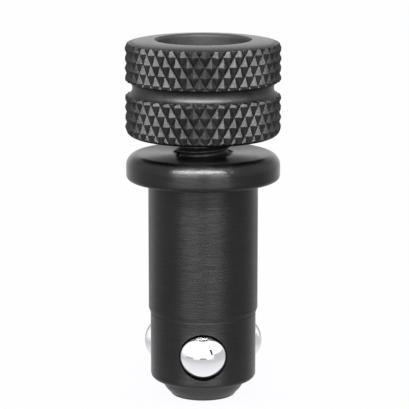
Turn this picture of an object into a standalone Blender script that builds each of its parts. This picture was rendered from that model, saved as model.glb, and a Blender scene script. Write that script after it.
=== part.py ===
"""Quick clamping bolt. The knurled knob screws a spindle and its cone down, and the cone drives balls out."""
import math

import bmesh
import bpy
from mathutils import Matrix, Vector

MM = 0.001

# Shank: the flange, the long fitting diameter and the slightly smaller ball section below it
SHANK_D = 16.0 * MM
SHANK_LENGTH = 19.4 * MM
FLANGE_D = 22.4 * MM
FLANGE_THICKNESS = 3.8 * MM
FLANGE_TOP_ROUND = 1.75 * MM
FLANGE_LOWER_ROUND = 0.9 * MM
BALL_SECTION_D = 15.45 * MM
BALL_SECTION_LENGTH = 10.3 * MM
STEP_CHAMFER_LENGTH = 0.7 * MM
BALL_SECTION_ROUND = 0.8 * MM

# Nose of the end plug, and the narrow flat left round it on the shank's end
NOSE_LENGTH = 2.6 * MM
NOSE_STEP = 0.325 * MM
NOSE_TIP_D = 9.4 * MM
NOSE_TIP_ROUND = 0.35 * MM
PLUG_SPIGOT_LENGTH = 1.0 * MM

# Bores of the shank: the thread above, the cone's chamber below
THREAD_D = 8.0 * MM
THREAD_ENGAGEMENT = 16.0 * MM
THREAD_COUNTERSINK = 0.5 * MM
CHAMBER_RELIEF = 0.4 * MM

# Locking balls and the cone behind them
BALL_COUNT = 3
BALL_D = 7.0 * MM
BALL_HEIGHT_IN_SECTION = 4.73 * MM
BALL_PROTRUSION = 1.775 * MM
BALL_SPARE_TRAVEL = 0.1 * MM
POCKET_LIP_REACH = 0.05 * MM
CONE_HALF_ANGLE = math.radians(30)
CONE_TIP_D = 1.2 * MM
CONE_SKIRT_LENGTH = 4.1 * MM
JOURNAL_D = 5.0 * MM
JOURNAL_LENGTH = 3.3 * MM
SNAP_WIRE_D = 0.8 * MM
SNAP_RING_GAP = math.radians(24)

# Knob
KNOB_D = 22.65 * MM
KNOB_HEIGHT = 13.9 * MM
KNOB_LIFT = 2.5 * MM
KNOB_LOWER_ROUND = 1.6 * MM
KNOB_SHOULDER_HEIGHT = 0.75 * MM
KNOB_SHOULDER_SHARE = 0.57
KNOB_RIM_ROUND = 0.2 * MM
RECESS_FLARE = 0.45 * MM
GROOVE_WIDTH = 2.15 * MM
GROOVE_DEPTH = 1.1 * MM

# Diamond knurl: teeth around, height of one row of tips, depth of the valleys
KNURL_TEETH = 40
KNURL_ROW = 1.42 * MM
KNURL_DEPTH = 0.55 * MM
KNURL_FIRST_TIP_BELOW_RIM = 1.13 * MM
KNURL_TURN = math.radians(1.8)

# Spindle head and the pin between it and the knob
HEAD_D = 13.0 * MM
HEAD_HEIGHT = 8.0 * MM
HEAD_EDGE = 0.5 * MM
HEAD_SUNK = 2.15 * MM
SOCKET_WIDTH = 6.0 * MM
SOCKET_DEPTH = 4.0 * MM
DRIVE_PIN_D = 2.0 * MM
DRIVE_PIN_LENGTH = 6.0 * MM

# Clearances
RUNNING_FIT = 0.05 * MM
HEAD_FIT = 0.25 * MM
BALL_FIT = 0.05 * MM
CONE_FIT = 0.1 * MM
CONE_TIP_CLEARANCE = 1.4 * MM
SEAT_FIT = 0.05 * MM
PIN_FIT = 0.05 * MM

# Facets of a full turn
SEGMENTS = 60
SMALL_SEGMENTS = 48
POCKET_SEGMENTS = 40
PIN_SEGMENTS = 20
BALL_SEGMENTS = 24
RING_STEPS = 24
ROUND_STEPS = 4
GROOVE_STEPS = 6

# Edges sharper than this stay sharp when the faces are shaded smooth
SHARP_EDGE = math.radians(35)

# Heights and radii that follow from the sizes above
BALL_SECTION_BOTTOM = NOSE_LENGTH
STEP_Z = BALL_SECTION_BOTTOM + BALL_SECTION_LENGTH
FLANGE_BOTTOM = STEP_Z + SHANK_LENGTH
FLANGE_TOP = FLANGE_BOTTOM + FLANGE_THICKNESS
KNOB_BOTTOM = FLANGE_TOP + KNOB_LIFT
KNOB_TOP = KNOB_BOTTOM + KNOB_HEIGHT
BALL_Z = BALL_SECTION_BOTTOM + BALL_HEIGHT_IN_SECTION
THREAD_BOTTOM = FLANGE_TOP - THREAD_ENGAGEMENT
HEAD_TOP = KNOB_TOP - HEAD_SUNK
HEAD_UNDERSIDE = HEAD_TOP - HEAD_HEIGHT
RECESS_FLOOR = HEAD_UNDERSIDE - SEAT_FIT
RECESS_R = HEAD_D / 2 + HEAD_FIT
SPINDLE_R = THREAD_D / 2
BORE_R = SPINDLE_R + RUNNING_FIT
CHAMBER_R = SPINDLE_R + CHAMBER_RELIEF
SECTION_R = BALL_SECTION_D / 2
SECTION_FLAT_R = SECTION_R - BALL_SECTION_ROUND
BALL_R = BALL_D / 2
BALL_CENTRE_RADIUS = SECTION_R + BALL_PROTRUSION - BALL_R
POCKET_R = BALL_R + BALL_FIT
LIP_R = BALL_R - POCKET_LIP_REACH
OUTERMOST_BALL_CENTRE = BALL_CENTRE_RADIUS + BALL_SPARE_TRAVEL
CONE_R = CHAMBER_R - CONE_FIT
CONE_R_AT_BALLS = BALL_CENTRE_RADIUS - (BALL_R + BALL_FIT) / math.cos(CONE_HALF_ANGLE)
PLUG_SEAT_Z = BALL_SECTION_BOTTOM - SEAT_FIT
PLUG_TOP = PLUG_SEAT_Z + PLUG_SPIGOT_LENGTH
CONE_TIP_Z = max(
    BALL_Z - (CONE_R_AT_BALLS - CONE_TIP_D / 2) / math.tan(CONE_HALF_ANGLE),
    PLUG_TOP + CONE_TIP_CLEARANCE,
)
CONE_TIP_R = CONE_R_AT_BALLS - (BALL_Z - CONE_TIP_Z) * math.tan(CONE_HALF_ANGLE)
CONE_SKIRT_Z = BALL_Z + (CONE_R - CONE_R_AT_BALLS) / math.tan(CONE_HALF_ANGLE)
CONE_TOP_Z = CONE_SKIRT_Z + CONE_SKIRT_LENGTH
JOURNAL_R = JOURNAL_D / 2
SNAP_R = SNAP_WIRE_D / 2
SPINDLE_SHOULDER_Z = CONE_TOP_Z + SEAT_FIT
JOURNAL_BOTTOM = SPINDLE_SHOULDER_Z - JOURNAL_LENGTH
SNAP_Z = SPINDLE_SHOULDER_Z - JOURNAL_LENGTH / 2

for old in list(bpy.data.objects):
    bpy.data.objects.remove(old, do_unlink=True)

parts = bpy.data.collections.new("quick_clamping_bolt")
cutters = bpy.data.collections.new("cutters")
for made in (parts, cutters):
    bpy.context.scene.collection.children.link(made)


def steel(name, colour, roughness, metallic=1.0):
    material = bpy.data.materials.new(name)
    material.use_nodes = True
    shader = material.node_tree.nodes["Principled BSDF"]
    shader.inputs["Base Color"].default_value = (*colour, 1)
    shader.inputs["Roughness"].default_value = roughness
    shader.inputs["Metallic"].default_value = metallic
    return material


def place(obj, collection):
    """Moves a new object into its own collection."""
    for owner in list(obj.users_collection):
        owner.objects.unlink(obj)
    collection.objects.link(obj)
    return obj


def hide_cutter(obj):
    place(obj, cutters)
    obj.hide_render = True
    obj.display_type = "WIRE"
    return obj


def applied(obj):
    """The same object with its modifiers made part of its mesh."""
    bpy.context.view_layer.update()
    mesh = bpy.data.meshes.new_from_object(obj.evaluated_get(bpy.context.evaluated_depsgraph_get()))
    mesh.name = obj.name
    obj.modifiers.clear()
    obj.data = mesh
    return obj


def finish(obj, material):
    place(obj, parts)
    if obj.modifiers:
        applied(obj)
    if obj.type == "MESH":
        obj.data.shade_smooth()
        obj.data.set_sharp_from_angle(angle=SHARP_EDGE)
    obj.data.materials.clear()
    obj.data.materials.append(material)
    return obj


def fillet(centre_r, centre_z, radius, start, end, steps=ROUND_STEPS):
    """Points of a rounded edge about a centre, from one angle in degrees to another."""
    points = []
    for step in range(steps + 1):
        angle = math.radians(start + (end - start) * step / steps)
        points.append((centre_r + radius * math.cos(angle), centre_z + radius * math.sin(angle)))
    return points


def turned(name, profile, segments=SEGMENTS):
    """A turned solid: its outline at +X from the top of the outside down and back up the inside."""
    mesh = bpy.data.meshes.new(name)
    points = [Vector((r, 0, z)) for r, z in profile]
    closed = profile[0][0] > 0
    edges = [(k, k + 1) for k in range(len(points) - 1)]
    if closed:
        edges.append((len(points) - 1, 0))
    mesh.from_pydata(points, edges, [])
    obj = bpy.data.objects.new(name, mesh)
    bpy.context.scene.collection.objects.link(obj)
    screw = obj.modifiers.new("turn", "SCREW")
    screw.steps = segments
    screw.render_steps = segments
    screw.use_merge_vertices = True
    screw.merge_threshold = 0.00001
    return obj


def boolean(obj, operation, other):
    modifier = obj.modifiers.new(other.name, "BOOLEAN")
    modifier.operation = operation
    modifier.solver = "EXACT"
    modifier.object = other
    return modifier


def cylinder(name, radius, depth, centre, turn=None, segments=SMALL_SEGMENTS):
    mesh = bpy.data.meshes.new(name)
    shape = bmesh.new()
    bmesh.ops.create_cone(
        shape, cap_ends=True, segments=segments, radius1=radius, radius2=radius, depth=depth
    )
    shape.to_mesh(mesh)
    shape.free()
    obj = bpy.data.objects.new(name, mesh)
    bpy.context.scene.collection.objects.link(obj)
    obj.matrix_world = Matrix.Translation(centre) @ (turn or Matrix.Identity(4))
    return obj


def radial(angle):
    """Turns +Z outward along a radius at this angle."""
    return Matrix.Rotation(angle, 4, "Z") @ Matrix.Rotation(math.pi / 2, 4, "Y")


def ball_angles():
    """The first ball faces the front, and the others follow at equal steps."""
    return [-math.pi / 2 + turn * 2 * math.pi / BALL_COUNT for turn in range(BALL_COUNT)]


def pocket_cutter(name, angle):
    """A bore with a round end for the ball at its outermost place. Its mouth is smaller than the ball."""
    lip_angle = math.degrees(math.acos(LIP_R / POCKET_R))
    profile = [
        (0, BALL_SECTION_D),
        (LIP_R, BALL_SECTION_D),
        *fillet(0, OUTERMOST_BALL_CENTRE, POCKET_R, lip_angle, 0, 2),
        (POCKET_R, 0),
        (0, 0),
    ]
    cutter = turned(name, profile, POCKET_SEGMENTS)
    cutter.matrix_world = Matrix.Translation((0, 0, BALL_Z)) @ radial(angle)
    return hide_cutter(cutter)


def make_shank(material):
    flange_r = FLANGE_D / 2
    profile = [
        (BORE_R + THREAD_COUNTERSINK, FLANGE_TOP),
        *fillet(
            flange_r - FLANGE_TOP_ROUND, FLANGE_TOP - FLANGE_TOP_ROUND, FLANGE_TOP_ROUND, 90, 0
        ),
        *fillet(
            flange_r - FLANGE_LOWER_ROUND,
            FLANGE_BOTTOM + FLANGE_LOWER_ROUND,
            FLANGE_LOWER_ROUND,
            0,
            -90,
        ),
        (SHANK_D / 2, FLANGE_BOTTOM),
        (SHANK_D / 2, STEP_Z + STEP_CHAMFER_LENGTH),
        (SECTION_R, STEP_Z),
        *fillet(
            SECTION_FLAT_R,
            BALL_SECTION_BOTTOM + BALL_SECTION_ROUND,
            BALL_SECTION_ROUND,
            0,
            -90,
            3,
        ),
        (CHAMBER_R, BALL_SECTION_BOTTOM),
        (CHAMBER_R, THREAD_BOTTOM),
        (BORE_R, THREAD_BOTTOM),
        (BORE_R, FLANGE_TOP - THREAD_COUNTERSINK),
    ]
    shank = turned("shank_body", profile)
    for number, angle in enumerate(ball_angles(), 1):
        boolean(shank, "DIFFERENCE", pocket_cutter(f"ball_pocket_{number}", angle))
    return finish(shank, material)


def make_plug(material):
    spigot_r = CHAMBER_R - SEAT_FIT
    profile = [
        (0, PLUG_TOP),
        (spigot_r, PLUG_TOP),
        (spigot_r, PLUG_SEAT_Z),
        (SECTION_FLAT_R - NOSE_STEP, PLUG_SEAT_Z),
        (NOSE_TIP_D / 2 + NOSE_TIP_ROUND / 2, NOSE_TIP_ROUND),
        (NOSE_TIP_D / 2 - NOSE_TIP_ROUND / 2, 0),
        (0, 0),
    ]
    return finish(turned("end_plug", profile), material)


def make_balls(material):
    for number, angle in enumerate(ball_angles(), 1):
        mesh = bpy.data.meshes.new(f"locking_ball_{number}")
        shape = bmesh.new()
        bmesh.ops.create_uvsphere(
            shape, u_segments=BALL_SEGMENTS, v_segments=BALL_SEGMENTS // 2, radius=BALL_R
        )
        shape.to_mesh(mesh)
        shape.free()
        ball = bpy.data.objects.new(mesh.name, mesh)
        bpy.context.scene.collection.objects.link(ball)
        out = Matrix.Rotation(angle, 4, "Z") @ Vector((BALL_CENTRE_RADIUS, 0, 0))
        ball.matrix_world = Matrix.Translation(out + Vector((0, 0, BALL_Z)))
        finish(ball, material)


def make_cone(material):
    bore_r = JOURNAL_R + RUNNING_FIT
    half = SNAP_R + RUNNING_FIT
    groove_r = JOURNAL_R + SNAP_R + RUNNING_FIT
    floor = JOURNAL_BOTTOM - SEAT_FIT
    profile = [
        (bore_r, CONE_TOP_Z),
        (CONE_R, CONE_TOP_Z),
        (CONE_R, CONE_SKIRT_Z),
        (CONE_TIP_R, CONE_TIP_Z),
        (0, CONE_TIP_Z),
        (0, floor),
        (bore_r, floor),
        (bore_r, SNAP_Z - half),
        (groove_r, SNAP_Z - half),
        (groove_r, SNAP_Z + half),
        (bore_r, SNAP_Z + half),
    ]
    return finish(turned("spreader_cone", profile, SMALL_SEGMENTS), material)


def make_snap_ring(material):
    """Open ring of round wire, half in the journal's groove and half in the cone's."""
    curve = bpy.data.curves.new("cone_snap_ring", "CURVE")
    curve.dimensions = "3D"
    curve.bevel_depth = SNAP_R
    curve.bevel_resolution = 1
    curve.use_fill_caps = True
    line = curve.splines.new("POLY")
    line.points.add(RING_STEPS)
    for step in range(RING_STEPS + 1):
        angle = SNAP_RING_GAP / 2 + (2 * math.pi - SNAP_RING_GAP) * step / RING_STEPS
        line.points[step].co = (JOURNAL_R * math.cos(angle), JOURNAL_R * math.sin(angle), SNAP_Z, 1)
    ring = bpy.data.objects.new("cone_snap_ring", curve)
    bpy.context.scene.collection.objects.link(ring)
    return finish(ring, material)


def drive_pin_centre():
    """The pin's axis lies on the joint between the head and the wall of the recess."""
    return Vector((HEAD_D / 2 - DRIVE_PIN_D / 4, 0, HEAD_TOP - DRIVE_PIN_LENGTH / 2))


def pin_hole(name):
    hole = cylinder(
        name,
        DRIVE_PIN_D / 2 + PIN_FIT,
        DRIVE_PIN_LENGTH + KNOB_HEIGHT,
        drive_pin_centre() + Vector((0, 0, KNOB_HEIGHT / 2 - PIN_FIT)),
        segments=PIN_SEGMENTS,
    )
    return hide_cutter(hole)


def make_spindle(material):
    groove_r = JOURNAL_R - SNAP_R - RUNNING_FIT
    half = SNAP_R + RUNNING_FIT
    head_r = HEAD_D / 2
    profile = [
        (0, HEAD_TOP),
        (head_r - HEAD_EDGE, HEAD_TOP),
        (head_r, HEAD_TOP - HEAD_EDGE),
        (head_r, HEAD_UNDERSIDE),
        (SPINDLE_R, HEAD_UNDERSIDE),
        (SPINDLE_R, SPINDLE_SHOULDER_Z + THREAD_COUNTERSINK),
        (SPINDLE_R - THREAD_COUNTERSINK, SPINDLE_SHOULDER_Z),
        (JOURNAL_R, SPINDLE_SHOULDER_Z),
        (JOURNAL_R, SNAP_Z + half),
        (groove_r, SNAP_Z + half),
        (groove_r, SNAP_Z - half),
        (JOURNAL_R, SNAP_Z - half),
        (JOURNAL_R, JOURNAL_BOTTOM),
        (0, JOURNAL_BOTTOM),
    ]
    spindle = turned("spindle", profile, SMALL_SEGMENTS)
    socket = cylinder(
        "hex_socket",
        SOCKET_WIDTH / 2 / math.cos(math.pi / 6),
        2 * SOCKET_DEPTH,
        Vector((0, 0, HEAD_TOP)),
        Matrix.Rotation(math.pi / 6, 4, "Z"),
        6,
    )
    boolean(spindle, "DIFFERENCE", hide_cutter(socket))
    boolean(spindle, "DIFFERENCE", pin_hole("pin_hole_in_head"))
    return finish(spindle, material)


def make_drive_pin(material):
    pin = cylinder(
        "knob_drive_pin", DRIVE_PIN_D / 2, DRIVE_PIN_LENGTH, drive_pin_centre(), segments=PIN_SEGMENTS
    )
    return finish(pin, material)


def knurl_body():
    """A rod covered with pyramids. Tips and valleys alternate round each row and from row to row."""
    columns = 2 * KNURL_TEETH
    first = KNOB_TOP - KNURL_FIRST_TIP_BELOW_RIM
    above = 2
    rows = above + math.ceil((first - KNOB_BOTTOM) / KNURL_ROW) + 2
    shape = bmesh.new()
    grid = []
    for row in range(rows):
        z = first + (above - row) * KNURL_ROW
        ring = []
        for column in range(columns):
            tip = (row - above + column) % 2 == 0
            radius = KNOB_D / 2 - (0 if tip else KNURL_DEPTH)
            angle = -math.pi / 2 + KNURL_TURN + column * math.pi / KNURL_TEETH
            ring.append(shape.verts.new((radius * math.cos(angle), radius * math.sin(angle), z)))
        grid.append(ring)
    for row in range(rows - 1):
        for column in range(columns):
            following = (column + 1) % columns
            a, b = grid[row][column], grid[row][following]
            c, d = grid[row + 1][following], grid[row + 1][column]
            if (row - above + column) % 2 == 0:
                shape.faces.new((a, d, b))
                shape.faces.new((d, c, b))
            else:
                shape.faces.new((a, d, c))
                shape.faces.new((a, c, b))
    shape.faces.new(grid[0])
    shape.faces.new(reversed(grid[-1]))
    bmesh.ops.recalc_face_normals(shape, faces=shape.faces)
    mesh = bpy.data.meshes.new("knurl")
    shape.to_mesh(mesh)
    shape.free()
    return hide_cutter(bpy.data.objects.new("knurl", mesh))


def make_knob(material):
    """Turned blank whose outer wall stands just clear of the tips, cut to the knurl.

    Its top is a flat ring that rounds over to the wall, and the recess flares above the spindle's head.
    """
    wall_r = KNOB_D / 2 + KNURL_DEPTH / 4
    flare_r = RECESS_R + RECESS_FLARE
    rim_r = flare_r + KNOB_RIM_ROUND
    shoulder_width = KNOB_SHOULDER_SHARE * (KNOB_D / 2 - rim_r)
    bore_r = SPINDLE_R + SEAT_FIT
    groove_z = KNOB_BOTTOM + KNOB_HEIGHT / 2
    groove = []
    for step in range(GROOVE_STEPS + 1):
        angle = math.pi * step / GROOVE_STEPS
        groove.append(
            (
                KNOB_D / 2 - GROOVE_DEPTH * math.sin(angle),
                groove_z + GROOVE_WIDTH / 2 * math.cos(angle),
            )
        )
    shoulder = []
    for step in range(ROUND_STEPS + 2):
        angle = math.pi / 2 * (1 - step / (ROUND_STEPS + 1))
        shoulder.append(
            (
                KNOB_D / 2 - shoulder_width * (1 - math.cos(angle)),
                KNOB_TOP - KNOB_SHOULDER_HEIGHT * (1 - math.sin(angle)),
            )
        )
    profile = [
        *shoulder,
        (wall_r, KNOB_TOP - KNOB_SHOULDER_HEIGHT - (wall_r - KNOB_D / 2)),
        (wall_r, groove_z + GROOVE_WIDTH / 2),
        *groove,
        (wall_r, groove_z - GROOVE_WIDTH / 2),
        (wall_r, KNOB_BOTTOM + KNOB_LOWER_ROUND),
        *fillet(
            KNOB_D / 2 - KNOB_LOWER_ROUND,
            KNOB_BOTTOM + KNOB_LOWER_ROUND,
            KNOB_LOWER_ROUND,
            0,
            -90,
        ),
        (bore_r, KNOB_BOTTOM),
        (bore_r, RECESS_FLOOR),
        (RECESS_R, RECESS_FLOOR),
        (RECESS_R, HEAD_TOP),
        *fillet(rim_r, KNOB_TOP - KNOB_RIM_ROUND, KNOB_RIM_ROUND, 180, 90, 2),
    ]
    knob = turned("knurled_knob", profile, 2 * KNURL_TEETH)
    boolean(knob, "INTERSECT", knurl_body())
    boolean(knob, "DIFFERENCE", pin_hole("pin_hole_in_knob"))
    return finish(knob, material)


def hang_on_axis(name, height, pieces):
    """Parents pieces that move together to an empty on the bolt's axis, where they are."""
    axis = bpy.data.objects.new(name, None)
    parts.objects.link(axis)
    axis.location = (0, 0, height)
    bpy.context.view_layer.update()
    for piece in pieces:
        piece.parent = axis
        piece.matrix_parent_inverse = axis.matrix_world.inverted()


black_steel = steel("black_oxide_steel", (0.035, 0.035, 0.038), 0.34)
knob_steel = steel("black_oxide_knob", (0.045, 0.045, 0.048), 0.32)
bright_steel = steel("polished_ball_steel", (0.78, 0.78, 0.80), 0.08)
plain_steel = steel("hardened_steel", (0.22, 0.22, 0.23), 0.3)

make_shank(black_steel)
make_plug(black_steel)
make_balls(bright_steel)
cone = make_cone(plain_steel)
ring = make_snap_ring(plain_steel)
spindle = make_spindle(plain_steel)
pin = make_drive_pin(plain_steel)
knob = make_knob(knob_steel)

hang_on_axis("cone_lift_axis", CONE_TOP_Z, [cone])
hang_on_axis("knob_turn_axis", FLANGE_TOP, [knob, spindle, pin, ring])
bpy.context.view_layer.update()
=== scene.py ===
# %% [markdown]
# # Quick clamping bolt
# A bolt for perforated welding tables. The knurled knob screws a spindle down through the shank, a
# cone on the spindle's end pushes three steel balls outwards, and the balls and the flange clamp
# the plates between them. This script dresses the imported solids: it models each visible piece
# finely, gives it its finish, and sets up a small photographic studio round it.

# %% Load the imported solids
import math

import bmesh
import bpy
from mathutils import Matrix, Vector


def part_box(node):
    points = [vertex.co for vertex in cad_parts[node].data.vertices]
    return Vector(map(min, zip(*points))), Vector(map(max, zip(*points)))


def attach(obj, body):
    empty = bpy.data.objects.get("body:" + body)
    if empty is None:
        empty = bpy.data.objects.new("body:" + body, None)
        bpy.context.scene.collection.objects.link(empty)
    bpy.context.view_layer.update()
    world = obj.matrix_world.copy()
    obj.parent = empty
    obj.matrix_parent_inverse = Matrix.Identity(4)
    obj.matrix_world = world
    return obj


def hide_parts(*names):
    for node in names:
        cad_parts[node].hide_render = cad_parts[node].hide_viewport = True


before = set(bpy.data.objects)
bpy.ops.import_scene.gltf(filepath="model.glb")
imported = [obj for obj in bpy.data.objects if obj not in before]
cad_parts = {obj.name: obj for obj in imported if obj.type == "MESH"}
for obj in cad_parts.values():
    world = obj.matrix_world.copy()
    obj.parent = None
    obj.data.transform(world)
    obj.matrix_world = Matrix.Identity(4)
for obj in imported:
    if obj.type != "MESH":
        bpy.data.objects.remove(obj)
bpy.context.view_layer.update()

print("nodes:", ", ".join(sorted(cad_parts)))

# %% [markdown]
# Every size below is a length in millimetres times MM, because the solids are in metres. Heights
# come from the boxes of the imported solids, so a finer piece lands exactly where its solid is.

# %% Heights and radii read from the solids
MM = 0.001

shank_low, shank_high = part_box("shank_body")
knob_low, knob_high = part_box("knurled_knob")
spindle_low, spindle_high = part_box("spindle")
_, plug_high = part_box("end_plug")
_, cone_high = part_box("spreader_cone")

SHANK_END_Z = shank_low.z
FLANGE_TOP_Z = shank_high.z
FLANGE_R = shank_high.x
KNOB_BOTTOM_Z = knob_low.z
KNOB_TOP_Z = knob_high.z
HEAD_TOP_Z = spindle_high.z
HEAD_R = spindle_high.x
JOURNAL_END_Z = spindle_low.z
PLUG_TOP_Z = plug_high.z
CONE_TOP_Z = cone_high.z
print(f"flange top {FLANGE_TOP_Z / MM:.2f} mm")
print(f"knob from {KNOB_BOTTOM_Z / MM:.2f} to {KNOB_TOP_Z / MM:.2f} mm")

# %% [markdown]
# ## Arithmetic on node sockets
# Finishes and patterns are formulas of position. Written node by node a formula is hard to read, so
# one small class wraps an output socket and turns Python's operators into Math nodes. The same
# class serves shader trees and geometry trees, because both use the same Math node.

# %% A socket that can be calculated with
class Formula:
    """One output socket of a node tree, so that sums can be written as expressions."""

    def __init__(self, nodes, socket):
        self.nodes = nodes
        self.socket = socket

    def output(self, name):
        """Another output of the same node."""
        return Formula(self.nodes, self.socket.node.outputs[name])

    def maths(self, operation, *others):
        """The result of a Math node that has this socket first and the others after it."""
        values = dict(enumerate((self, *others)))
        return self.nodes.node("ShaderNodeMath", {"operation": operation}, values)

    def __add__(self, other):
        return self.maths("ADD", other)

    def __radd__(self, other):
        return self + other

    def __sub__(self, other):
        return self.maths("SUBTRACT", other)

    def __rsub__(self, other):
        return self * -1 + other

    def __mul__(self, other):
        return self.maths("MULTIPLY", other)

    def __rmul__(self, other):
        return self * other

    def __truediv__(self, other):
        return self.maths("DIVIDE", other)

    def clamped(self, low=0.0, high=1.0):
        """The value, held between two limits."""
        return self.maths("MAXIMUM", low).maths("MINIMUM", high)

    def above(self, start, blur):
        """0 up to the start, and 1 from one blur above it."""
        return ((self - start) / blur).clamped()

    def below(self, end, blur):
        """1 up to one blur below the end, and 0 from the end on."""
        return ((end - self) / blur).clamped()

    def distance_to_whole(self):
        """How far the value is from the nearest whole number, from 0 to 0.5."""
        return (self - self.maths("ROUND")).maths("ABSOLUTE")


class Nodes:
    """A node tree whose nodes all come from one method."""

    def __init__(self, tree):
        self.tree = tree

    def node(self, kind, settings=None, sockets=None):
        """A new node with its settings, then the values or links of its sockets.

        It returns the node's first output, to calculate with.
        """
        made = self.tree.nodes.new(kind)
        for name, value in (settings or {}).items():
            setattr(made, name, value)
        for name, value in (sockets or {}).items():
            if isinstance(value, Formula):
                self.tree.links.new(value.socket, made.inputs[name])
            else:
                made.inputs[name].default_value = value
        return Formula(self, made.outputs[0]) if made.outputs else made


# %% [markdown]
# ## Turned pieces
# Nearly every piece of this bolt comes off a lathe, so nearly every piece is a profile turned about
# the Z axis. A rounded edge is an arc in the profile. Fine steps in the arc and many steps round
# the axis keep the outline smooth in a close view.

# %% Profiles and the lathe
def arc(centre_r, centre_z, radius, start, end, steps=12):
    """Points of a rounded edge about a centre, from one angle in degrees to another."""
    points = []
    for step in range(steps + 1):
        angle = math.radians(start + (end - start) * step / steps)
        points.append((centre_r + radius * math.cos(angle), centre_z + radius * math.sin(angle)))
    return points


def evenly(start, end, longest):
    """Values from start to end in equal steps no longer than the longest."""
    steps = max(1, math.ceil(abs(end - start) / longest - 1e-6))
    return [start + (end - start) * step / steps for step in range(steps + 1)]


def new_object(name, mesh):
    """A new object with the mesh, in the scene."""
    made = bpy.data.objects.new(name, mesh)
    bpy.context.scene.collection.objects.link(made)
    return made


def made_plain(obj):
    """The object with its modifiers made part of a plain mesh, and its place in that mesh."""
    bpy.context.view_layer.update()
    graph = bpy.context.evaluated_depsgraph_get()
    mesh = bpy.data.meshes.new_from_object(obj.evaluated_get(graph), depsgraph=graph)
    mesh.transform(obj.matrix_world)
    obj.modifiers.clear()
    obj.data = mesh
    obj.matrix_world = Matrix.Identity(4)
    mesh.name = obj.name
    return obj


def turned(name, profile, segments=240, start_angle=0.0):
    """A closed turned mesh. The outline runs down the outside at +X and back up the inside."""
    mesh = bpy.data.meshes.new(name)
    edges = [(k, k + 1) for k in range(len(profile) - 1)]
    if profile[0][0] > 0:
        edges.append((len(profile) - 1, 0))
    mesh.from_pydata([(r, 0, z) for r, z in profile], edges, [])
    obj = new_object(name, mesh)
    screw = obj.modifiers.new("lathe", "SCREW")
    screw.steps = segments
    screw.render_steps = segments
    screw.use_merge_vertices = True
    screw.merge_threshold = 0.000001
    obj.matrix_world = Matrix.Rotation(start_angle, 4, "Z")
    return made_plain(obj)


def cut(obj, cutter):
    """Cuts one closed mesh out of another."""
    modifier = obj.modifiers.new(cutter.name, "BOOLEAN")
    modifier.operation = "DIFFERENCE"
    modifier.solver = "EXACT"
    modifier.object = cutter
    made_plain(obj)
    bpy.data.objects.remove(cutter, do_unlink=True)


def finished(obj, material, body, node, sharp=32):
    """Smooths the faces, gives the finish and hangs the piece on its body.

    It takes the place of the plain solid. Edges steeper than the sharp angle stay crisp.
    """
    obj.data.shade_smooth()
    obj.data.set_sharp_from_angle(angle=math.radians(sharp))
    obj.data.materials.clear()
    obj.data.materials.append(material)
    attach(obj, body)
    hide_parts(node)
    triangles = sum(len(face.vertices) - 2 for face in obj.data.polygons)
    print(f"{obj.name}: {triangles} triangles, on body {body}")


# %% [markdown]
# ## Finishes
# The steel is black oxide: a thin conversion layer that leaves the turned surface as it was, only
# nearly black. Under the layer the lathe's fine grooves run round each piece. They spread a
# highlight along the axis and not round it, which is why the photo shows a bright band with clean
# upright edges down the shank. The shader's anisotropy does that part, and a stretched noise adds
# the marks that can be seen one by one.

# %% Black oxide steel
SECTION_TOP_Z = 12.4 * MM
POLISHED_FROM_Z = 32.2 * MM
FLANGE_ROUGHNESS = 0.28
FINE_MARK = 0.12 * MM
COARSE_MARK = 0.28 * MM
MARK_LENGTH = 2.2 * MM
PATCH_SIZE = 6 * MM


def surface(name, roughness, anisotropy=0.0):
    """A new metal with its shader. The highlight is stretched across the lathe's grooves."""
    material = bpy.data.materials.new(name)
    material.use_nodes = True
    shader = material.node_tree.nodes["Principled BSDF"]
    shader.inputs["Metallic"].default_value = 1.0
    shader.inputs["Roughness"].default_value = roughness
    shader.inputs["Anisotropic"].default_value = anisotropy
    shader.inputs["Anisotropic Rotation"].default_value = 0.25
    return material, shader, Nodes(material.node_tree)


def lathe_coordinates(nodes):
    """Position on the piece, its three coordinates and its distance from the axis."""
    place = nodes.node("ShaderNodeTexCoord").output("Object")
    axes = nodes.node("ShaderNodeSeparateXYZ", None, {0: place})
    x, y, z = axes, axes.output("Y"), axes.output("Z")
    radius = (x * x + y * y).maths("SQRT")
    return place, x, y, z, radius


def lathe_marks(nodes, x, y, along, fineness, length):
    """Noise stretched round the axis: marks of a length, with a spacing set by the fineness.

    The sum of height and radius grows along the profile on walls and on flat faces alike, so it
    serves as the place along the profile for both.
    """
    scaled = {0: x / length, 1: y / length, 2: along / fineness}
    vector = nodes.node("ShaderNodeCombineXYZ", None, scaled)
    sockets = {"Vector": vector, "Scale": 1.0, "Detail": 3.0, "Roughness": 0.6}
    return nodes.node("ShaderNodeTexNoise", None, sockets)


def speckle(nodes, place, size, detail):
    """Noise with spots of about the given size, and finer ones in them."""
    sockets = {"Vector": place, "Scale": 1 / size, "Detail": detail}
    return nodes.node("ShaderNodeTexNoise", None, sockets)


def grey(value):
    """The colour of steel at a brightness: grey with a trace of blue."""
    return (value, value, value * 1.02, 1)


def mixed(nodes, share, first, second):
    """The first colour where the share is 0, and the second where it is 1."""
    sockets = {0: share, 6: first, 7: second}
    return nodes.node("ShaderNodeMix", {"data_type": "RGBA"}, sockets).output(2)


def connect(formula, shader, name):
    """Feeds the formula into one of the shader's inputs."""
    formula.nodes.tree.links.new(formula.socket, shader.inputs[name])


def bumped(nodes, height, distance):
    """The normal with the height pressed into it. The distance is that of a height of 1."""
    return nodes.node("ShaderNodeBump", None, {"Distance": distance, "Height": height})


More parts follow.
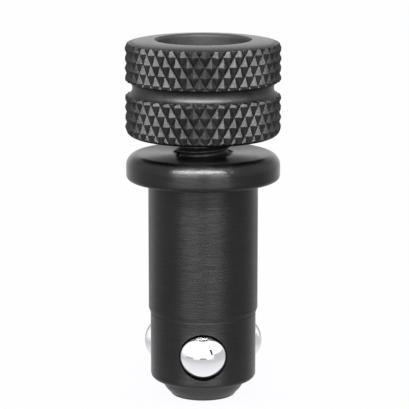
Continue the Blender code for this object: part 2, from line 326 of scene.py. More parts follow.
def turned_black_oxide(name, base, roughness, anisotropy, mark_depth, polished_from=None):
    """Black oxide over lathe marks. The flange was polished, so it is smoother from a height up.

    The polished piece is the shank, and the tool also left a dull line at the foot of its step.
    """
    material, shader, nodes = surface(name, roughness, anisotropy=anisotropy)
    place, x, y, z, radius = lathe_coordinates(nodes)
    along = z + radius
    fine = lathe_marks(nodes, x, y, along, FINE_MARK, MARK_LENGTH)
    coarse = lathe_marks(nodes, x, y, along, COARSE_MARK, MARK_LENGTH)
    patch = speckle(nodes, place, PATCH_SIZE, 2.0)
    streak = (fine * 0.5 + coarse * 0.5 - 0.5) * 3
    tone = (streak * 0.5 + (patch - 0.5) * 0.6 + 0.5).clamped()
    connect(mixed(nodes, tone, grey(base * 0.8), grey(base * 1.25)), shader, "Base Color")
    gloss = streak * 0.08 + roughness
    height = fine * 0.35 + coarse
    if polished_from:
        polished = z.above(polished_from, 0.2 * MM)
        flat_top = z.above(FLANGE_TOP_Z - 0.1 * MM, 0.1 * MM)
        gloss = gloss - polished * (roughness - FLANGE_ROUGHNESS) + flat_top * 0.03
        height = height * (1 - polished * 0.8)
        dull_line = (z - SECTION_TOP_Z).maths("ABSOLUTE").below(0.13 * MM, 0.13 * MM)
        gloss = gloss + dull_line * 0.4
    connect(gloss.clamped(0.15, 0.7), shader, "Roughness")
    connect(bumped(nodes, height, mark_depth), shader, "Normal")
    return material


black_oxide = turned_black_oxide(
    "turned_black_oxide",
    base=0.032,
    roughness=0.36,
    anisotropy=0.8,
    mark_depth=0.042 * MM,
    polished_from=POLISHED_FROM_Z,
)
plug_oxide = turned_black_oxide(
    "plug_black_oxide", base=0.058, roughness=0.45, anisotropy=0.4, mark_depth=0.006 * MM
)
# Lighter than the shank's oxide: partly the spindle's own finish, partly painted light for its
# shaded neck.
dark_thread = turned_black_oxide(
    "thread_black_oxide", base=0.055, roughness=0.55, anisotropy=0.0, mark_depth=0.004 * MM
)
print("finishes:", black_oxide.name, plug_oxide.name, dark_thread.name)

# %% [markdown]
# The knurl is rolled into the knob and then blackened, so its facets are smooth but not mirror
# bright. The layer wears first where a thumb rubs it: on the points. The pattern itself stores how
# high each spot lies, and the finish reads that height to lighten the points. The turned top is
# smoother than the knurl, the groove between the bands a little duller, and the recess duller
# still. The recess's grey is also raised a little towards the worn grey: painted light in its shade.

# %% Black oxide on the knurled knob
GRAIN_SIZE = 0.25 * MM
KNOB_PATCH_SIZE = 3 * MM
KNOB_MARK_LENGTH = 3.0 * MM
DULL_RECESS_R = 7.1 * MM
TURNED_TOP_R = 10.4 * MM
TURNED_GROOVE_R = 11 * MM


def knurled_black_oxide(name, base, worn_and_painted_light_grey):
    """Black oxide that turns lighter on the worn points of the knurl, and a little lighter in the
    recess as painted light.
    """
    material, shader, nodes = surface(name, 0.4)
    place, x, y, z, radius = lathe_coordinates(nodes)
    height = nodes.node("ShaderNodeAttribute", {"attribute_name": "knurl_height"}).output("Fac")
    grain = speckle(nodes, place, GRAIN_SIZE, 3.0)
    patch = speckle(nodes, place, KNOB_PATCH_SIZE, 2.0)
    marks = lathe_marks(nodes, x, y, z + radius, FINE_MARK, KNOB_MARK_LENGTH)
    tone = (grain * 0.5 + patch * 0.5).clamped()
    clean = mixed(nodes, tone.above(0.25, 0.5), grey(base * 0.5), grey(base * 1.5))
    point = height.above(0.82, 0.15) * grain.above(0.45, 0.25)
    in_recess = radius.below(DULL_RECESS_R, 0.3 * MM)
    # The worn points and the recess both take the lighter grey. In the recess it is painted light,
    # against its shade.
    lighter = (point * 0.8).maths("MAXIMUM", in_recess * 0.15)
    connect(mixed(nodes, lighter, clean, grey(worn_and_painted_light_grey)), shader, "Base Color")
    turned_top = z.above(KNOB_TOP_Z - 0.4 * MM, 0.4 * MM) * radius.below(TURNED_TOP_R, 0.3 * MM)
    mid_height = z.above(KNOB_BOTTOM_Z + 3 * MM, 3 * MM) * z.below(KNOB_TOP_Z - 2 * MM, 2 * MM)
    turned_groove = radius.below(TURNED_GROOVE_R, 0.2 * MM) * mid_height
    rolled = 1 - turned_top.maths("MAXIMUM", turned_groove)
    gloss = grain * 0.25 + 0.25 + turned_groove * 0.08 - turned_top * 0.12 + in_recess * 0.6
    connect(gloss.clamped(0.15, 0.7), shader, "Roughness")
    connect(bumped(nodes, (grain * rolled * 0.75 + marks * 0.25), 0.016 * MM), shader, "Normal")
    return material


knob_oxide = knurled_black_oxide("knurled_black_oxide", base=0.036, worn_and_painted_light_grey=0.12)

# %% [markdown]
# The balls are bearing balls: hardened, ground and lapped until they mirror the room. The parts
# inside are plain ground steel, with short marks that run round the axis.

# %% Bright and ground steel
def mirror_steel(name):
    """Lapped steel, with no more than a breath of haze."""
    material, shader, nodes = surface(name, 0.04)
    place = nodes.node("ShaderNodeTexCoord").output("Object")
    haze = speckle(nodes, place, 1.5 * MM, 4.0)
    connect(mixed(nodes, haze, grey(0.86), grey(0.92)), shader, "Base Color")
    connect(haze * 0.02 + 0.005, shader, "Roughness")
    return material


def ground_steel(name, base):
    """Bare steel with the marks of the grinding wheel round the axis."""
    material, shader, nodes = surface(name, 0.34, anisotropy=0.4)
    _, x, y, z, radius = lathe_coordinates(nodes)
    marks = lathe_marks(nodes, x, y, z + radius, 0.06 * MM, 2.0 * MM)
    connect(mixed(nodes, marks, grey(base * 0.8), grey(base * 1.2)), shader, "Base Color")
    connect(marks * 0.2 + 0.24, shader, "Roughness")
    connect(bumped(nodes, marks, 0.002 * MM), shader, "Normal")
    return material


ball_steel = mirror_steel("mirror_ball_steel")
inner_steel = ground_steel("ground_inner_steel", base=0.22)
print("finishes:", knob_oxide.name, ball_steel.name, inner_steel.name)

# %% [markdown]
# ## Shank
# The shank is turned from one bar: a round flange with a soft upper edge, the 16 mm fitting
# diameter, a small step, and the section that carries the balls. Each ball sits in a bore whose
# mouth is a little smaller than the ball, so the ball shows but can't fall out. The bores are cut
# with turned cutters laid on their side.

# %% Shank with its three ball pockets
SHANK_R = 8.0 * MM
SECTION_R = 7.725 * MM
SECTION_END_Z = SHANK_END_Z - 0.12 * MM
STEP_CHAMFER = 0.7 * MM
SECTION_ROUND = 0.8 * MM
FLANGE_BOTTOM_Z = 32.22 * MM
FLANGE_TOP_ROUND = 1.75 * MM
FLANGE_LOWER_ROUND = 0.8 * MM
FLANGE_CORNER = 0.25 * MM
THREAD_BORE_R = 4.05 * MM
BORE_CHAMFER = 0.5 * MM
CHAMBER_R = 4.4 * MM
CHAMBER_TOP_Z = 20.1 * MM

POCKET_R = 3.55 * MM
POCKET_MOUTH_R = 3.45 * MM
POCKET_END = 6.1 * MM


def ball_centre(number):
    """Where a ball sits, read from its solid."""
    low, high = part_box(f"locking_ball_{number}")
    return (low + high) / 2


def pocket_cutter(number):
    """The ball's bore with its round end and narrower mouth, lying along the ball's own radius."""
    lip = math.degrees(math.acos(POCKET_MOUTH_R / POCKET_R))
    outline = [
        (0, 2 * SECTION_R),
        (POCKET_MOUTH_R, 2 * SECTION_R),
        *arc(0, POCKET_END, POCKET_R, lip, 0, 6),
        (POCKET_R, 0),
        (0, 0),
    ]
    cutter = turned(f"pocket_{number}", outline, 128)
    centre = ball_centre(number)
    angle = math.atan2(centre.y, centre.x)
    lying = Matrix.Rotation(angle, 4, "Z") @ Matrix.Rotation(math.pi / 2, 4, "Y")
    cutter.data.transform(Matrix.Translation((0, 0, centre.z)) @ lying)
    return cutter


def make_shank():
    """The turned shank, with a pocket bored for each ball."""
    upper, lower, corner = FLANGE_TOP_ROUND, FLANGE_LOWER_ROUND, FLANGE_CORNER
    outline = [
        *arc(FLANGE_R - upper, FLANGE_TOP_Z - upper, upper, 90, 0, 16),
        *arc(FLANGE_R - lower, FLANGE_BOTTOM_Z + lower, lower, 0, -90),
        *arc(SHANK_R + corner, FLANGE_BOTTOM_Z - corner, corner, 90, 180, 5),
        (SHANK_R, SECTION_TOP_Z + STEP_CHAMFER + 0.1 * MM),
        (SHANK_R - 0.02 * MM, SECTION_TOP_Z + STEP_CHAMFER),
        (SECTION_R, SECTION_TOP_Z),
        *arc(SECTION_R - SECTION_ROUND, SECTION_END_Z + SECTION_ROUND, SECTION_ROUND, 0, -90),
        (CHAMBER_R, SECTION_END_Z),
        (CHAMBER_R, CHAMBER_TOP_Z),
        (THREAD_BORE_R, CHAMBER_TOP_Z),
        (THREAD_BORE_R, FLANGE_TOP_Z - BORE_CHAMFER),
        (THREAD_BORE_R + BORE_CHAMFER, FLANGE_TOP_Z),
    ]
    shank = turned("turned_shank", outline, 288)
    for number in (1, 2, 3):
        cut(shank, pocket_cutter(number))
    finished(shank, black_oxide, "shank", "shank_body")


make_shank()

# %% [markdown]
# The plug closes the shank's lower end. Only its cone shows: the nose that finds the bore when the
# bolt is dropped into the table. A narrow flat of the shank's end is left round it.

# %% Nose of the end plug
NOSE_TIP_R = 4.65 * MM
NOSE_TIP_ROUND = 0.35 * MM
NOSE_BASE_R = 6.2 * MM
NOSE_EDGE = 0.1 * MM
SPIGOT_R = 4.35 * MM
PLUG_SEAT_Z = SECTION_END_Z - 0.05 * MM
NOSE_BULGE = 0.18 * MM


def nose_side(share):
    """A point of the nose's side, from its base at 0 to its tip at 1. The side swells a little."""
    bulge = NOSE_BULGE * 4 * share * (1 - share)
    r = NOSE_BASE_R + (NOSE_TIP_R - NOSE_BASE_R) * share + bulge
    base_z = PLUG_SEAT_Z - NOSE_EDGE
    return r, base_z + (NOSE_TIP_ROUND / 2 - base_z) * share - bulge / 2


def make_nose():
    """The end plug: a spigot up inside the shank, and the nose below it."""
    slope = math.degrees(math.atan2(NOSE_BASE_R - NOSE_TIP_R, PLUG_SEAT_Z))
    outline = [
        (0, PLUG_TOP_Z),
        (SPIGOT_R, PLUG_TOP_Z),
        (SPIGOT_R, PLUG_SEAT_Z),
        (NOSE_BASE_R - NOSE_EDGE, PLUG_SEAT_Z),
        *[nose_side(share) for share in evenly(0, 1, 1 / 16)[:-1]],
        *arc(NOSE_TIP_R - NOSE_TIP_ROUND / 2, NOSE_TIP_ROUND, NOSE_TIP_ROUND, -slope, -90),
        (0, 0),
    ]
    nose = turned("plug_nose", outline)
    finished(nose, plug_oxide, "shank", "end_plug")


make_nose()

# %% [markdown]
# ## Balls
# A UV sphere has narrow triangles at its poles, and a mirror finish shows them. A sphere grown from
# an icosahedron has even triangles all over, so it mirrors the room without a flaw.

# %% Three locking balls
BALL_R = 3.5 * MM


def object_from(shape, name):
    """A new object with the faces of a bmesh, which is freed."""
    mesh = bpy.data.meshes.new(name)
    shape.to_mesh(mesh)
    shape.free()
    return new_object(name, mesh)


def make_ball(number):
    """A bearing ball in the place of its solid."""
    shape = bmesh.new()
    bmesh.ops.create_icosphere(shape, subdivisions=6, radius=BALL_R)
    bmesh.ops.translate(shape, verts=shape.verts, vec=ball_centre(number))
    ball = object_from(shape, f"bearing_ball_{number}")
    node = f"locking_ball_{number}"
    finished(ball, ball_steel, f"ball_{number}", node)


for number in (1, 2, 3):
    make_ball(number)

# %% [markdown]
# ## Knurled knob
# A diamond knurl is two sets of helical grooves, one left-hand and one right-hand, that leave rows
# of small pyramids. Measure round the knob in half teeth and up it in rows, and the two sets of
# grooves become lines on which the sum or the difference of the two numbers is fixed. The height of
# the metal is then simply the distance to the nearest such line. Geometry Nodes evaluate that
# formula at each point of a turned blank and pull the point in to the knurled radius wherever that
# lies under the blank's own surface, just as the knurling wheels work on the real blank. A plain
# Boolean would do it too, but would leave no height to read.

# %% Turned blank of the knob
TEETH = 40
ROW = 1.42 * MM
KNURL_DEPTH = 0.55 * MM
TIP_R = 11.325 * MM
FIRST_TIP_Z = KNOB_TOP_Z - 1.13 * MM
KNURL_TURN = math.radians(1.8)
STEPS_PER_CELL = 8

CROWN_TOP_Z = KNOB_TOP_Z + 0.14 * MM
CROWN_FALL = 0.85 * MM
RECESS_R = 6.6 * MM
RECESS_MOUTH_R = 7.15 * MM
RIM_HEIGHT = 0.45 * MM
LOWER_ROUND = 1.6 * MM
GROOVE_WIDTH = 2.15 * MM
GROOVE_DEPTH = 1.1 * MM
GROOVE_Z = (KNOB_BOTTOM_Z + KNOB_TOP_Z) / 2 + 0.14 * MM
KNOB_BORE_R = 4.05 * MM
RECESS_FLOOR_Z = HEAD_TOP_Z - 8.05 * MM
BLANK_R = TIP_R + 0.02 * MM


def soft_edge(width, fall, angles):
    """A quarter of an ellipse that is highest over the recess's mouth. Angles are in radians."""
    points = []
    for angle in angles:
        r = RECESS_MOUTH_R + width * math.cos(angle)
        points.append((r, CROWN_TOP_Z - fall * (1 - math.sin(angle))))
    return points


def crown():
    """The knob's soft top, from the recess out to the wall."""
    return soft_edge(BLANK_R - RECESS_MOUTH_R, CROWN_FALL, evenly(math.pi / 2, 0, 0.05))


def recess_rim():
    """The soft inner edge of the crown, up out of the recess."""
    return soft_edge(RECESS_MOUTH_R - RECESS_R, RIM_HEIGHT, evenly(math.pi, math.pi / 2, 0.12))


def groove_point(angle):
    """A point of the groove: half an ellipse, from its upper lip at 0 degrees down to 180."""
    turn = math.radians(angle)
    return TIP_R - GROOVE_DEPTH * math.sin(turn), GROOVE_Z + GROOVE_WIDTH / 2 * math.cos(turn)


def band(highest, lowest):
    """Points of the wall at even heights that fall on the knurl's rows, down to the lower round."""
    step = ROW / STEPS_PER_CELL
    first = math.ceil((FIRST_TIP_Z - highest) / step)
    last = math.floor((FIRST_TIP_Z - lowest) / step)
    points = []
    for number in range(first, last + 1):
        z = FIRST_TIP_Z - number * step
        below = max(0, KNOB_BOTTOM_Z + LOWER_ROUND - z)
        points.append((BLANK_R - LOWER_ROUND + math.sqrt(LOWER_ROUND**2 - below**2), z))
    return points


def knob_outline():
    """The knob's profile: crown, band, groove, band and lower round, then back up inside."""
    groove = [groove_point(angle) for angle in evenly(0, 180, 7.5)]
    upper_band = band(crown()[-1][1] - 0.02 * MM, groove[0][1])
    lower_band = band(groove[-1][1], KNOB_BOTTOM_Z + LOWER_ROUND * 0.4)
    lowest_z = lower_band[-1][1]
    low_angle = -math.degrees(math.asin((KNOB_BOTTOM_Z + LOWER_ROUND - lowest_z) / LOWER_ROUND))
    lower = arc(BLANK_R - LOWER_ROUND, KNOB_BOTTOM_Z + LOWER_ROUND, LOWER_ROUND, low_angle, -90, 10)
    return [
        *crown(),
        *upper_band,
        (BLANK_R, groove[0][1]),
        *groove,
        (BLANK_R, groove[-1][1]),
        *lower_band,
        *lower[1:],
        (KNOB_BORE_R, KNOB_BOTTOM_Z),
        (KNOB_BORE_R, RECESS_FLOOR_Z),
        (RECESS_R, RECESS_FLOOR_Z),
        (RECESS_R, HEAD_TOP_Z),
        *recess_rim()[:-1],
    ]


steps_round = 2 * TEETH * STEPS_PER_CELL
knob = turned("knob_with_knurl", knob_outline(), steps_round, KNURL_TURN - math.pi / 2)
print(f"blank of the knob: {len(knob.data.polygons)} faces")
print(f"half a tooth is {TIP_R * math.pi / TEETH / MM:.2f} mm")

# %% [markdown]
# The blank's faces are four-sided, and a four-sided face that crosses a groove can be folded along
# the groove or across it. Folded across, it would bridge the groove and leave a saw edge. So the
# tree also splits the faces into triangles, one way in even cells of the pattern and the other way
# in odd ones.

# %% Geometry nodes that knurl a blank
def new_geometry_tree(name, inputs):
    """A geometry tree with a geometry in and out, and named inputs with their values."""
    tree = bpy.data.node_groups.new(name, "GeometryNodeTree")
    sockets = tree.interface
    sockets.new_socket("Geometry", in_out="INPUT", socket_type="NodeSocketGeometry")
    for title, value in inputs.items():
        number = sockets.new_socket(title, in_out="INPUT", socket_type="NodeSocketFloat")
        number.default_value = value
    sockets.new_socket("Material", in_out="INPUT", socket_type="NodeSocketMaterial")
    sockets.new_socket("Geometry", in_out="OUTPUT", socket_type="NodeSocketGeometry")
    nodes = Nodes(tree)
    return tree, nodes, nodes.node("NodeGroupInput")


def end_tree(nodes, group_input, geometry):
    """Real geometry with its finish, handed to the output."""
    real = nodes.node("GeometryNodeRealizeInstances", None, {"Geometry": geometry})
    sockets = {"Geometry": real, "Material": group_input.output("Material")}
    painted = nodes.node("GeometryNodeSetMaterial", None, sockets)
    nodes.node("NodeGroupOutput", None, {"Geometry": painted})


def run_tree(obj, tree, values):
    """Runs the tree on the object once and keeps the result as its mesh."""
    modifier = obj.modifiers.new(tree.name, "NODES")
    modifier.node_group = tree
    for item in tree.interface.items_tree:
        if item.in_out == "INPUT" and item.name in values:
            modifier[item.identifier] = values[item.name]
    made_plain(obj)


def polar_place(nodes):
    """Position, its radius and its angle about the Z axis."""
    place = nodes.node("GeometryNodeInputPosition")
    axes = nodes.node("ShaderNodeSeparateXYZ", None, {0: place})
    x, y, z = axes, axes.output("Y"), axes.output("Z")
    return x, y, z, (x * x + y * y).maths("SQRT"), y.maths("ARCTAN2", x)


def moved_to_radius(nodes, geometry, x, y, z, radius, new_radius):
    """The geometry with each point moved straight in or out to its new radius."""
    scale = new_radius / radius.maths("MAXIMUM", 1e-6)
    place = nodes.node("ShaderNodeCombineXYZ", None, {0: x * scale, 1: y * scale, 2: z})
    return nodes.node("GeometryNodeSetPosition", None, {"Geometry": geometry, "Position": place})


def knurl_tree():
    """Moves the points of a blank in to the knurl, and stores how high each of them lies in it."""
    sizes = {
        "Teeth": TEETH,
        "Row": ROW,
        "Depth": KNURL_DEPTH,
        "Tip radius": TIP_R,
        "First tip": FIRST_TIP_Z,
        "Turn": KNURL_TURN,
        "Tip flat": 0.05,
    }
    tree, nodes, given = new_geometry_tree("diamond_knurl", sizes)
    x, y, z, radius, angle = polar_place(nodes)
    column = (angle + math.pi / 2 - given.output("Turn")) * given.output("Teeth") / math.pi
    row = (given.output("First tip") - z) / given.output("Row")
    left = ((column + row) / 2).distance_to_whole()
    right = ((column - row) / 2).distance_to_whole()
    height = (1 - left.maths("MAXIMUM", right) * 2).maths("MINIMUM", 1 - given.output("Tip flat"))
    knurled = given.output("Tip radius") - given.output("Depth") * (1 - height)
    odd_cell = (column.maths("FLOOR") + row.maths("FLOOR")).maths("FLOORED_MODULO", 2.0)
    tall = nodes.node(
        "GeometryNodeStoreNamedAttribute",
        {"data_type": "FLOAT", "domain": "POINT"},
        {"Geometry": given, "Name": "knurl_height", "Value": height},
    )
    pressed = moved_to_radius(nodes, tall, x, y, z, radius, radius.maths("MINIMUM", knurled))
    split = nodes.node(
        "GeometryNodeTriangulate",
        {"quad_method": "FIXED"},
        {"Mesh": pressed, "Selection": odd_cell},
    )
    rest = nodes.node(
        "GeometryNodeTriangulate",
        {"quad_method": "FIXED_ALTERNATE"},
        {"Mesh": split, "Selection": 1 - odd_cell},
    )
    end_tree(nodes, given, rest)
    return tree


run_tree(knob, knurl_tree(), {"Material": knob_oxide})
print(f"knurled knob: {len(knob.data.polygons)} faces")

# %% [markdown]
# A pin sits half in the spindle's head and half in the wall of the knob's recess, so that the two
# turn together. Its hole is drilled through both at once, which is why each of them shows half of
# it.

# %% Pin hole in the knob, and the pin
PIN_R = 1.0 * MM
PIN_HOLE_R = 1.05 * MM
PIN_EDGE = 0.15 * MM
pin_low, pin_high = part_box("knob_drive_pin")
PIN_X = (pin_low.x + pin_high.x) / 2


def pin_hole(name):
    """The drill that makes the pin's hole, from above the knob down to the pin's foot."""
    above_z = KNOB_TOP_Z + MM
    outline = [(0, above_z), (PIN_HOLE_R, above_z), (PIN_HOLE_R, pin_low.z), (0, pin_low.z)]
    hole = turned(name, outline, 64)
    hole.data.transform(Matrix.Translation((PIN_X, 0, 0)))
    return hole


cut(knob, pin_hole("hole_in_knob"))
finished(knob, knob_oxide, "knob", "knurled_knob", 22)

pin_outline = [
    (0, pin_high.z),
    *arc(PIN_R - PIN_EDGE, pin_high.z - PIN_EDGE, PIN_EDGE, 90, 0, 4),
    *arc(PIN_R - PIN_EDGE, pin_low.z + PIN_EDGE, PIN_EDGE, 0, -90, 4),
    (0, pin_low.z),
]
pin = turned("drive_pin", pin_outline, 64)
pin.data.transform(Matrix.Translation((PIN_X, 0, 0)))
finished(pin, inner_steel, "knob", "knob_drive_pin")

# %% [markdown]
# ## Spindle
# The spindle is an M8 screw. A thread is a ridge that climbs one pitch in each turn, so height
# divided by the pitch, less the share of a turn, tells how far a point is from the ridge. As with
# the knurl, a small tree turns that number into a radius: flat crest, two flanks at 60 degrees,
# wider flat root. The rows of the blank are fine enough for sixteen steps in each pitch.

# %% M8 thread from geometry nodes
PITCH = 1.25 * MM
THREAD_R = 4.0 * MM
THREAD_DEPTH = 0.5413 * PITCH  # the standard depth of a metric thread
STEPS_PER_PITCH = 16
SPINDLE_SHOULDER_Z = CONE_TOP_Z + 0.05 * MM
THREAD_START_Z = SPINDLE_SHOULDER_Z + 0.8 * MM
HEAD_UNDERSIDE_Z = HEAD_TOP_Z - 8.0 * MM
THREAD_END_Z = HEAD_UNDERSIDE_Z - 0.6 * MM


def thread_tree():
    """Moves the points of a blank in to the thread, which starts and ends over one pitch."""
    sizes = {
        "Pitch": PITCH,
        "Depth": THREAD_DEPTH,
        "Start": THREAD_START_Z,
        "End": THREAD_END_Z,
        "Turn": 0.25,
    }
    tree, nodes, given = new_geometry_tree("screw_thread", sizes)
    x, y, z, radius, angle = polar_place(nodes)
    turns = z / given.output("Pitch") - angle / (2 * math.pi) + given.output("Turn")
    from_crest = turns.distance_to_whole()
    crest_half, flank = 1 / 16, 5 / 16
    sunk = from_crest.above(crest_half, flank)
    run_in = z.above(given.output("Start"), given.output("Pitch"))
    run_out = z.below(given.output("End"), given.output("Pitch"))
    cut_r = radius - given.output("Depth") * sunk * run_in * run_out
    moved = moved_to_radius(nodes, given, x, y, z, radius, cut_r)
    end_tree(nodes, given, moved)
    return tree


# %% [markdown]
# The head is sunk in the knob's recess. Its hexagon socket takes a key, for the last part of a turn
# when the clamp has to be tight. The neck between the knob and the flange is where the thread shows
# in the photo.

# %% Spindle with its socket head
HEAD_EDGE = 0.5 * MM
JOURNAL_R = 2.5 * MM
SNAP_GROOVE_R = 2.05 * MM
SNAP_GROOVE_HALF = 0.45 * MM
SOCKET_WIDTH = 6.0 * MM
SOCKET_CORNER_R = SOCKET_WIDTH / 2 / math.cos(math.pi / 6)
SOCKET_DEPTH = 4.0 * MM
SOCKET_CHAMFER = 0.35 * MM


def spindle_outline():
    """The spindle's profile: head, threaded length, and the journal that carries the cone."""
    groove_z = SPINDLE_SHOULDER_Z - (SPINDLE_SHOULDER_Z - JOURNAL_END_Z) / 2
    thread = evenly(HEAD_UNDERSIDE_Z, SPINDLE_SHOULDER_Z + HEAD_EDGE, PITCH / STEPS_PER_PITCH)
    return [
        (0, HEAD_TOP_Z),
        *arc(HEAD_R - HEAD_EDGE, HEAD_TOP_Z - HEAD_EDGE, HEAD_EDGE, 90, 0, 6),
        (HEAD_R, HEAD_UNDERSIDE_Z),
        *[(THREAD_R, z) for z in thread],
        (THREAD_R - HEAD_EDGE, SPINDLE_SHOULDER_Z),
        (JOURNAL_R, SPINDLE_SHOULDER_Z),
        (JOURNAL_R, groove_z + SNAP_GROOVE_HALF),
        (SNAP_GROOVE_R, groove_z + SNAP_GROOVE_HALF),
        (SNAP_GROOVE_R, groove_z - SNAP_GROOVE_HALF),
        (JOURNAL_R, groove_z - SNAP_GROOVE_HALF),
        (JOURNAL_R, JOURNAL_END_Z),
        (0, JOURNAL_END_Z),
    ]


def hexagon_socket():
    """The hexagonal prism that cuts the socket. Half of it stands above the head."""
    shape = bmesh.new()
    bmesh.ops.create_cone(
        shape,
        cap_ends=True,
        segments=6,
        radius1=SOCKET_CORNER_R,
        radius2=SOCKET_CORNER_R,
        depth=2 * SOCKET_DEPTH,
        matrix=Matrix.Translation((0, 0, HEAD_TOP_Z)) @ Matrix.Rotation(math.pi / 6, 4, "Z"),
    )
    return object_from(shape, "hexagon_socket")


def socket_chamfer():
    """The countersink that breaks the edge of the socket's mouth."""
    outline = [
        (0, HEAD_TOP_Z + MM),
        (SOCKET_CORNER_R + MM, HEAD_TOP_Z + MM),
        (SOCKET_CORNER_R - SOCKET_CHAMFER, HEAD_TOP_Z - SOCKET_CHAMFER),
        (0, HEAD_TOP_Z - SOCKET_CHAMFER),
    ]
    return turned("socket_chamfer", outline, 96)


spindle = turned("threaded_spindle", spindle_outline(), 96)
run_tree(spindle, thread_tree(), {"Material": dark_thread})
cut(spindle, hexagon_socket())
cut(spindle, socket_chamfer())
cut(spindle, pin_hole("hole_in_head"))
finished(spindle, dark_thread, "knob", "spindle", 28)

# %% [markdown]
# The cone and the snap ring that holds it to the spindle are inside the shank, where nothing shows
# them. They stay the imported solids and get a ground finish, because the bolt may be taken apart by
# whoever uses it.

# %% Inner parts
for name in ("spreader_cone", "cone_snap_ring"):
    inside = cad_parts[name]
    inside.data.materials.clear()
    inside.data.materials.append(inner_steel)
    print(f"{name}: {inner_steel.name}")

# %% [markdown]
# ## Studio
# The bolt was photographed in a bright tent on a white table, lit from the photographer's side.
# Polished and blackened steel show nothing but their surroundings, so the studio matters as much as
# the finishes. To the camera the floor and the sky are plain white, and the floor keeps a faint
# shadow. To mirrors they are as bright as the tent: a little darker than white, and darker still
# high up at the back. The floor is duller near the bolt, and brightest right at its foot.

# %% White floor and tent
FLOOR_SIZE = 6.0
PLAIN_WHITE = 0.95
DULL_FLOOR_R = 62 * MM
DULL_FLOOR = 0.66
FOOT_GLOW_R = 30 * MM
FOOT_GLOW = 0.45
MIRRORED_FRONT = 1.12
MIRRORED_FLOOR = 0.87
MIRRORED_SKY = 0.98
DARKER_BACK = 0.4
SKY_LIGHT = 0.85


def empty_nodes(owner):
    """The node tree of a material or of the world, with nothing in it yet."""
    owner.use_nodes = True
    owner.node_tree.nodes.clear()
    return Nodes(owner.node_tree)


def seen_in_mirror(ray):
    """1 for what a mirror shows, and 0 for what the camera sees or what lights matt steel."""
    return ray.output("Is Glossy Ray").maths("MAXIMUM", ray.output("Is Transmission Ray"))


def stage_floor():
    """The white table: nearly plain white to the camera, and a glow of its own to mirrors."""
    shape = bmesh.new()
    bmesh.ops.create_grid(shape, x_segments=1, y_segments=1, size=FLOOR_SIZE / 2)
    floor = object_from(shape, "studio_floor")
    material = bpy.data.materials.new("white_floor")
    nodes = empty_nodes(material)
    ray = nodes.node("ShaderNodeLightPath")
    painted = nodes.node("ShaderNodeBsdfDiffuse", None, {"Color": grey(0.9)})
    bright = nodes.node("ShaderNodeEmission", None, {"Color": grey(1.0), "Strength": 1.0})
    place = nodes.node("ShaderNodeTexCoord").output("Object")
    away = nodes.node("ShaderNodeVectorMath", {"operation": "LENGTH"}, {0: place}).output("Value")
    axes = nodes.node("ShaderNodeSeparateXYZ", None, {0: place})
    to_the_right, to_the_back = axes / away, axes.output("Y") / away
    in_front = to_the_back.below(-0.6, 0.2)
    at_right = to_the_right.above(0.5, 0.5)
    far = in_front * (MIRRORED_FRONT - MIRRORED_FLOOR) + MIRRORED_FLOOR - at_right * 0.25
    under = away.below(DULL_FLOOR_R, 2 * MM)
    near = away.below(FOOT_GLOW_R, FOOT_GLOW_R) * FOOT_GLOW + DULL_FLOOR
    strength = far + under * (near - far)
    mirrored = nodes.node("ShaderNodeEmission", None, {"Color": grey(1.0), "Strength": strength})
    seen = nodes.node("ShaderNodeMixShader", None, {0: ray * PLAIN_WHITE, 1: painted, 2: bright})
    in_mirror = seen_in_mirror(ray)
    both = nodes.node("ShaderNodeMixShader", None, {0: in_mirror, 1: seen, 2: mirrored})
    nodes.node("ShaderNodeOutputMaterial", None, {0: both})
    floor.data.materials.append(material)


def white_tent():
    """The sky: plain white to the camera, and its own brightness in mirrors and on matt steel."""
    world = bpy.data.worlds.new("white_tent")
    bpy.context.scene.world = world
    nodes = empty_nodes(world)
    ray = nodes.node("ShaderNodeLightPath")
    in_mirror = seen_in_mirror(ray)
    direction = nodes.node("ShaderNodeTexCoord").output("Object")
    axes = nodes.node("ShaderNodeSeparateXYZ", None, {0: direction})
    at_the_back = axes.output("Z").above(0.2, 0.25) * axes.output("Y").above(0, 1 / 3)
    mirrored = MIRRORED_SKY - at_the_back * DARKER_BACK
    strength = ray + in_mirror * mirrored + (1 - ray.maths("MAXIMUM", in_mirror)) * SKY_LIGHT
    sockets = {"Color": grey(1.0), "Strength": strength}
    background = nodes.node("ShaderNodeBackground", None, sockets)
    nodes.node("ShaderNodeOutputWorld", None, {0: background})


stage_floor()
white_tent()
print(f"floor {FLOOR_SIZE} m wide, tent {MIRRORED_SKY} in mirrors")

# %% [markdown]
# Two softboxes are there for mirrors alone. The long front panel draws the upright band on the
# shank and the bright facets of the knurl. Its width sets the width of the band: a mirror on the
# shank turned by an angle shows the studio at twice that angle, so the edge of the band at 21
# degrees is the panel's end at 42. The high strip draws the highlight on the flange. A third lamp
# lights only what is matt.

# %% Softboxes
LAMP_AZIMUTH = math.radians(-2)
LAMP_DISTANCE = 0.6


def softbox(name, elevation, width, height, radiance, in_mirrors):
    """A lamp behind the camera, a little to its left, that faces the middle of the bolt.

    It lights either what is matt or what mirrors it, so that each can be set to its own level. A
    slim lamp is an ellipse, whose highlight narrows towards its ends.
    """
    middle = Vector((0, 0, (KNOB_TOP_Z + SHANK_END_Z) / 2))
    a, e = LAMP_AZIMUTH, math.radians(elevation)
    away = Vector((math.sin(a) * math.cos(e), -math.cos(a) * math.cos(e), math.sin(e)))
    lamp = bpy.data.lights.new(name, "AREA")
    lamp.shape = "ELLIPSE" if width > 5 * height else "RECTANGLE"
    lamp.size = width
    lamp.size_y = height
    lamp.energy = radiance * math.pi * width * height
    made = bpy.data.objects.new(name, lamp)
    bpy.context.scene.collection.objects.link(made)
    made.location = middle + away * LAMP_DISTANCE
    made.rotation_euler = (-away).to_track_quat("-Z", "Y").to_euler()
    made.visible_camera = False
    made.visible_glossy = in_mirrors
    made.visible_diffuse = not in_mirrors
    print(f"{name}: {lamp.energy:.1f} W")


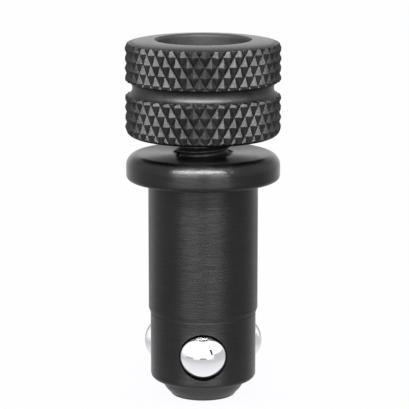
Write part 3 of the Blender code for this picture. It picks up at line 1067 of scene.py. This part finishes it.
softbox("front_light", elevation=45, width=0.76, height=0.2, radiance=1.5, in_mirrors=False)
softbox("front_panel", elevation=12, width=1.08, height=0.25, radiance=5.0, in_mirrors=True)
softbox("high_strip", elevation=49, width=1.0, height=0.12, radiance=48.0, in_mirrors=True)

# %% [markdown]
# A mirror shows what stands round it, and a ball in a plain white room looks like a hole in the
# picture. So curved cards that only mirrors see stand for the studio's things: the bright front of
# the tent, the dark edge of the front panel, the camera with its lamp, and low things near the
# bolt. The duller walls at the sides also keep the edges of the shank and the balls from fading
# into the white.

# %% Cards that only mirrors see
NEAR_CARDS_R = 60 * MM
NEAR_WALL = (0, 19 * MM)


def mirrored_card(name, distance, azimuths, heights, brightness):
    """An upright curved band round the bolt, between two azimuths in degrees and two heights.

    Azimuth 0 is the camera's side, and positive is to the right.
    """
    shape = bmesh.new()
    columns = []
    for azimuth in evenly(*azimuths, 5):
        a = math.radians(azimuth)
        x, y = distance * math.sin(a), -distance * math.cos(a)
        columns.append([shape.verts.new((x, y, z)) for z in heights])
    for (a, b), (d, c) in zip(columns, columns[1:]):
        shape.faces.new((a, b, c, d))
    card = object_from(shape, name)
    material = bpy.data.materials.new(name)
    nodes = empty_nodes(material)
    glow = nodes.node("ShaderNodeEmission", None, {"Color": grey(1.0), "Strength": brightness})
    nodes.node("ShaderNodeOutputMaterial", None, {0: glow})
    card.data.materials.append(material)
    card.visible_camera = False
    card.visible_diffuse = False
    card.visible_shadow = False


mirrored_card("front_tent", 0.9, (-125, 125), (0, 4.0), MIRRORED_FRONT)
mirrored_card("panel_edge", 0.3, (37.5, 47), (0.063, 0.36), 0.02)
mirrored_card("camera", 0.52, (-8, 8), (0.02, 0.3), 2.2)
mirrored_card("right_wall", NEAR_CARDS_R, (47, 115), NEAR_WALL, 0.62)
mirrored_card("left_wall", NEAR_CARDS_R, (-165, -138), NEAR_WALL, 0.5)
mirrored_card("right_back_wall", NEAR_CARDS_R, (138, 165), NEAR_WALL, 0.45)
mirrored_card("things_in_front", NEAR_CARDS_R, (-14, 14), (0, 8 * MM), 0.4)
mirrored_card("things_at_left", NEAR_CARDS_R, (-80, -42), (0, 5.5 * MM), 0.5)

# %% [markdown]
# ## Camera
# The bolt stands in the photo as seen by a long lens a little above it. The place and the lens come
# from matching the edges of the knob, the flange and the shank's end to the picture.

# %% Camera at the photo's place
CAMERA_PLACE = (0.2 * MM, -313.3 * MM, 91.85 * MM)
CAMERA_PITCH = math.radians(11.447)
LENS = 192.8

camera_data = bpy.data.cameras.new("photo_camera")
camera_data.sensor_width = 36.0
camera_data.lens = LENS
camera_data.clip_start = 0.01
camera = bpy.data.objects.new("photo_camera", camera_data)
bpy.context.scene.collection.objects.link(camera)
camera.location = CAMERA_PLACE
camera.rotation_euler = (math.pi / 2 - CAMERA_PITCH, 0, 0)
bpy.context.scene.camera = camera

bpy.context.scene.view_settings.view_transform = "Standard"
print("camera", [round(value, 4) for value in camera.location])
